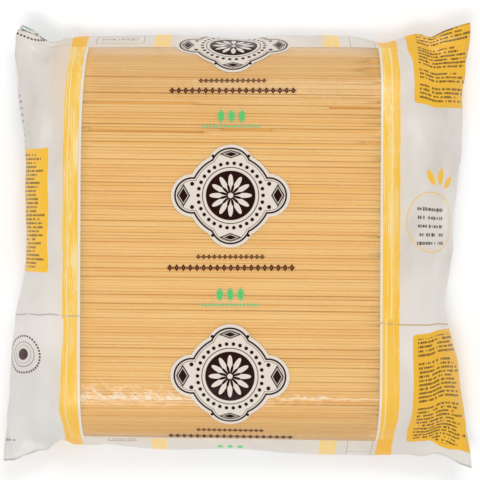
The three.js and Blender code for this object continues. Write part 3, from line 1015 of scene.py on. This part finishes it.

# %% [markdown]
# ## The printed film
#
# Outside the window the film is printed white from behind and then over-printed. The yellow stripes look
# brushed: their edges waver, and pale streaks run along them. The panels at the ends carry rows of dashes
# that stand for small print. Just past the loaf's ends the white is warmer, because the pasta shines
# through it. Painted shade lies over the print: soft crumple shading in the white, a dark line in the
# crease at the top left, and a deeper yellow on the stripes toward the near edge and past the folds.

# %% Stripes
LEFT_STRIPE, RIGHT_STRIPE = (-139.3, -126.3), (125.8, 140.4)
printed = new_material("printed_film")
u, v = film_coordinates()
v_print = pulled(u, v)
lower = ramp(-60.5, -61.5, v)
shift = lower * 1.2
waver = (noise(v * 0.03, u * 0.02, 3, 1) - 0.5) * 1.6
frayed = (noise(v * 0.2, 5, 3, 12) - 0.5) * 2.6
flare = most(-70 - v, 0) * 0.06
left_outer = LEFT_STRIPE[0] - (u + waver + frayed - shift) - flare
left_stripe = most(left_outer, u + waver * 0.3 - LEFT_STRIPE[1])
right_stripe = most(RIGHT_STRIPE[0] - (u + waver * 0.2), u + waver + frayed - RIGHT_STRIPE[1])
outer_stripes = most(ink(left_stripe), ink(right_stripe))
dry = noise(u * 1.1, v * 0.018, 3, 2) * 0.66 + noise(u * 0.12, v * 0.022, 1, 14) * 0.5
scratches = ramp(0.5, 0.57, noise(u * 2.4, v * 0.11, 4, 31))
scratches = scratches * ramp(0.48, 0.6, noise(u * 0.13, v * 0.014, 1, 33))
streaks = most(ramp(0.6, 0.72, dry) * 0.85, scratches * 0.8) * (1 - lower * 0.5)
thin_left = ink(ring(u + waver + 135.2 - shift + flare * 0.7, 0.9), 0.6)
thin_right = ink(ring(u + waver * 0.5 - 133.4 + lower * 4.4, 1.0), 0.6)
thin = most(thin_left * (1 - ramp(0.5, 0.7, noise(v * 0.02, 8.0, 2)) * 0.6), thin_right)
light = ramp(0.38, 0.64, noise(u * 0.3, v * 0.02, 2, 11)) * (0.4 - lower * 0.2)
outer_third = ramp(134.4, 135.4, u + waver * 0.5 + lower * 4.4) * 0.5
# Painted shade on the stripes past the folds onto the long sides.
past_fold_shade = most(ramp(178.4, 179.4, v), ramp(-172.4, -173.4, v)) * 0.95
stripe_colour = layered(
    YELLOW,
    (light, LIGHT_YELLOW),
    (most(streaks, thin * 0.85), PALE),
    (outer_third, srgb(238, 182, 48)),
    # painted shade toward the near edge, where the film turns down
    (ramp(-110, WINDOW_NEAR, v) * 0.4, srgb(236, 176, 36)),
    (past_fold_shade, srgb(239, 176, 4)),
)
inner_gaps = ink(least(ring(abs(u + 61) - 0.9, 0.4), ring(u - 84.4, 0.9)), 0.6)
inner_stripes = ink(least(abs(u + 61) - 6.8, abs(u - 83.8) - 7.2))
inner_stripes = inner_stripes * (1 - most(streaks * 0.5, inner_gaps * 0.6))
tell("the stripes")

# %% End panels with small print
PANEL_REPEAT, PANEL_ROW = FRONT_REPEAT * 2, 3.55
left_v, right_v = repeat(v - 30.8, PANEL_REPEAT), repeat(v + 127.3, PANEL_REPEAT)
left_panel = box(u, left_v, (-215, 0), (60.5, 54.7), 3)
drop = ramp(-20, -51, right_v) * (ramp(172, 184, u) * 9.5 - ramp(188, 204, u) * 3.8 - 2) * (v < 0)
slant = least(most(v - 160, 0) * 0.28, 3.8)
right_panel = box(u + slant, right_v + drop, (215, 0), (62.2, 51.3), 3)
panels = most(ink(left_panel), ink(right_panel))
row = v / PANEL_ROW
right_room = ink(158 - u) * ink(u - 158 - 52 * (0.72 + 0.3 * lot(row, 1.5, 6)))
right_room = right_room * ink(abs(right_v + drop) - 47.5)
left_room = ink(u + 158.5 + 14 * lot(row, 2.5, 7)) * ink(abs(left_v) - 51)
small_print = greeked(u, v, PANEL_ROW, 2.3, 1.25, 0) * (lot(row, 0.5, 5) > 0.09) * most(right_room, left_room)
tell("the panels")

# %% Round marks in the white between the panels
STAMP_RING, STAMP_DASHES = 16.6, 38
stamp_u, stamp_v = (u + 181.6) * 0.8, repeat(v + 97.2, PANEL_REPEAT) * 1.02
stamp_r = far_from(stamp_u, stamp_v)
stamp_angle = field("ARCTAN2", stamp_v, stamp_u)
dash = abs(repeat(stamp_angle, math.tau / STAMP_DASHES)) * STAMP_RING - 0.85
dashes = ink(ring(stamp_r - STAMP_RING, 1.7)) * ink(dash)
stamp = most(dashes, ink(ring(stamp_r - 11.2, 0.5)), ink(ring(stamp_r - 8.2, 0.3)), ink(stamp_r - 5.2))
ring_v = repeat(v - 20, PANEL_REPEAT)
ring_r = far_from(u - 172.3, ring_v)
gold_rings = most(ink(ring(ring_r - 26.0, 0.9)) * 0.9, ink(ring(ring_r - 23.6, 0.35)) * 0.7)
spray = least(
    leaf(*turned(u - 170, ring_v - 38.5, 32), 3.4, 7.5),
    leaf(*turned(u - 181, ring_v - 40.0, -4), 3.4, 8.2),
    leaf(*turned(u - 191, ring_v - 35.0, -42), 3.2, 7.2),
)
notes = greeked(u + 1, ring_v, 7.3, 3.3, 1.6, 3) * ink(box(u, ring_v, (171, -3.6), (15, 18.2)))
tell("the round marks")

# %% Fine lines on the long sides and the back
beyond = most(ramp(176, 179, v), ramp(-170, -173, v))
frame_line = ring(box(u, v_print, (-98, 203), (20.6, 8.6)), 0.5)
table_side = abs(u - 111.2) - 10.6
table = least(ring(table_side, 0.35), most(ring(v_print + 188.4, 0.35), table_side))
back = ramp(232, 236, abs(v_print)) * ramp(374, 370, abs(v_print))
rows = greeked(u, v_print, 4.6, 2.2, 1.7, 8)
columns = most(ink(abs(u + 2) - 38), ink(abs(u + 95) - 20))
fine = most(
    ink(frame_line, 0.5), ink(table, 0.5),
    greeked(u, v_print + 0.6, 5.2, 2.8, 2.1, 4) * ink(box(u, v_print, (-98, 203), (16, 3))),
    rows * back * columns * 0.9,
    greeked(u, v + 1.2, 3.6, 2.0, 1.4, 12) * ink(box(u, v, (-92.3, -174.2), (12.8, 3.2))),
) * beyond
edge_rows = least(box(u, v, (-206, 106), (16, 26)), box(u, v, (-206, -178), (14, 3)))
edge_print = greeked(u, v, 5.6, 2.6, 1.8, 15) * ink(edge_rows)
tell("the fine lines")

# %% The join of the print, the ears and the warm ends
EAR_LINE_SLOPE = 0.12
gap_v = v + 61.1 + 0.0237 * u + most(abs(u) - 124, 0) * 0.09
nicks = lot(u / 4.2, 0.5, 2) > 0.12
join = ink(ring(gap_v, 1.3), 0.7) * (0.45 + 0.55 * nicks)
far_left = ramp(60, 160, v) * (u < 0)
warm = ramp(152, 136, abs(u) - far_left * 12) * ramp(205, 170, abs(v)) * (0.4 + far_left * 0.35)
# Painted shade: a dark line in the crease at the top left.
crease_shade = ink(ring(v - 180.6 + (u + 138) * 0.2, 0.9), 0.7) * ramp(-164, -156, u) * ramp(-137, -139, u)
ear_line = v - 190 - EAR_LINE_SLOPE * (u + 188)
greenish = ramp(-0.5, 1.5, ear_line) * ramp(-150, -156, u) * ramp(240, 232, v)
dashed = ink(ring(ear_line, 1.0)) * ramp(-150, -154, u) * (lot(u / 1.5, 0.5, 3) > 0.4)
ear_leaves = ink(leaf(repeat(ear_line - 9, 13), repeat(u + 175, 14), 2.2, 5.2)) * greenish
tell("the join")

# %% The white film under the inks, with painted crumple shade
# Painted crumple shade: soft darker and lighter clouds over the white film.
painted_crumple_shade = noise(u * 0.03, v * 0.018, 2, 21)
window_rim = ink(ring(abs(u) - 124.9, 1.5)) * ramp(-174, -170, v) * ramp(180, 176, v)
white_film_with_painted_shade = layered(
    FILM_WHITE,
    (noise(u * 0.008, v * 0.008, 1, 2) * 0.35, srgb(226, 221, 214)),
    (ramp(0.5, 0.72, painted_crumple_shade) * 0.6, srgb(200, 192, 185)),
    (ramp(0.5, 0.25, painted_crumple_shade) * 0.5, srgb(236, 232, 226)),
    (ramp(-10, -40, v) * ramp(-110, -80, v) * 0.4, srgb(234, 229, 222)),
    (warm, srgb(226, 205, 180)),
    (crease_shade * 0.6, srgb(188, 174, 160)),
    (ramp(-140, -160, u) * ramp(-90, -140, v) * 0.5, srgb(214, 216, 214)),
    (greenish * 0.7, srgb(206, 226, 212)),
    (window_rim, srgb(228, 218, 204)),
)
tell("the white film")

# %% All inks on the printed film
layers, cover = front_print(u, v_print)
front_band = ramp(120, 116, abs(u))
colour = layered(
    white_film_with_painted_shade,
    (inner_stripes * beyond, srgb(244, 205, 118)),
    (outer_stripes, stripe_colour),
    (panels, layered(PANEL_YELLOW, (u < 0, srgb(246, 190, 34)))),
    (small_print, SCRIPT),
    (ink(spray), YELLOW),
    (gold_rings, srgb(232, 186, 66)),
    (notes, srgb(70, 48, 36)),
    (stamp, srgb(64, 34, 24)),
    (fine * 0.85, GREY_BROWN),
    (edge_print * 0.8, GREY_BROWN),
    (dashed, GREY_BROWN),
    (ear_leaves * 0.6, GREEN),
    (join * 0.85, layered(srgb(172, 166, 164), (ramp(-136, -126, u), srgb(190, 158, 112)))),
    *((mask * front_band, shade) for mask, shade in layers),
)
bend = bump(crinkles(u, v), 1.0)
coat = new_node("BsdfPrincipled", Base_Color=colour, Roughness=0.36, Specular_IOR_Level=0.5, Normal=bend)
finish_material(printed, coat, film_printed)

# %% [markdown]
# ## A plain pale table in soft studio light
#
# The pack lies on a white table. Most of the light comes from all round, as in a light tent. A softbox
# in front of the pack and one behind it draw the long glints on the film's shoulders.

# %% Table
TABLE_HALF = 6
table_mesh = bmesh.new()
bmesh.ops.create_grid(table_mesh, x_segments=1, y_segments=1, size=TABLE_HALF)
floor = to_object("floor", table_mesh)
table_top = new_material("white_table")
white = new_node("BsdfPrincipled", Base_Color=srgb(253, 253, 253), Roughness=0.9)
finish_material(table_top, white, floor)

# %% Light
LIGHT_ALL_ROUND = 0.7
world = bpy.data.worlds.new("studio")
world.use_nodes = True
background = world.node_tree.nodes["Background"].inputs
background["Color"].default_value = (1, 1, 1, 1)
background["Strength"].default_value = LIGHT_ALL_ROUND
bpy.context.scene.world = world


def softbox(name, location, width, height, energy):
    """An area lamp that faces the middle of the pack."""
    data = bpy.data.lights.new(name, "AREA")
    data.shape = "RECTANGLE"
    data.size, data.size_y, data.energy = width, height, energy
    lamp = bpy.data.objects.new(name, data)
    lamp.location = location
    x, y, z = location
    lamp.rotation_euler = (math.atan2(math.hypot(x, y), z), 0, math.atan2(x, -y))
    bpy.context.collection.objects.link(lamp)
    print(name, "is", round(math.hypot(x, y, z), 2), "m away")


softbox("front_softbox", (-0.3, -0.95, 1.6), 0.9, 0.45, 9)
softbox("back_softbox", (0.35, 1.25, 1.5), 1.0, 0.5, 9)

# %% Camera, looking straight down
CAMERA_AT = (2.4 * MM, 4.5 * MM, 0.9)
LENS, SENSOR = 75.9, 36
camera_data = bpy.data.cameras.new("camera")
camera_data.lens = LENS
camera_data.sensor_width = SENSOR
camera = bpy.data.objects.new("camera", camera_data)
camera.location = CAMERA_AT
bpy.context.collection.objects.link(camera)
bpy.context.scene.camera = camera
bpy.context.scene.view_settings.view_transform = "Standard"
print("the camera sees", round(CAMERA_AT[2] * SENSOR / LENS / MM), "mm of the table")

# %% Everything rides on the one body
slots = [(film_window, "clear_film"), (film_printed, "printed_film"), (spaghetti, "pasta"), (bed, "pasta")]
for piece, slot in slots:
    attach(piece, "root")
    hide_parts(PACK)
floor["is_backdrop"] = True

low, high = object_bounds()
print("looks span", [round(v / MM, 1) for v in low], [round(v / MM, 1) for v in high])
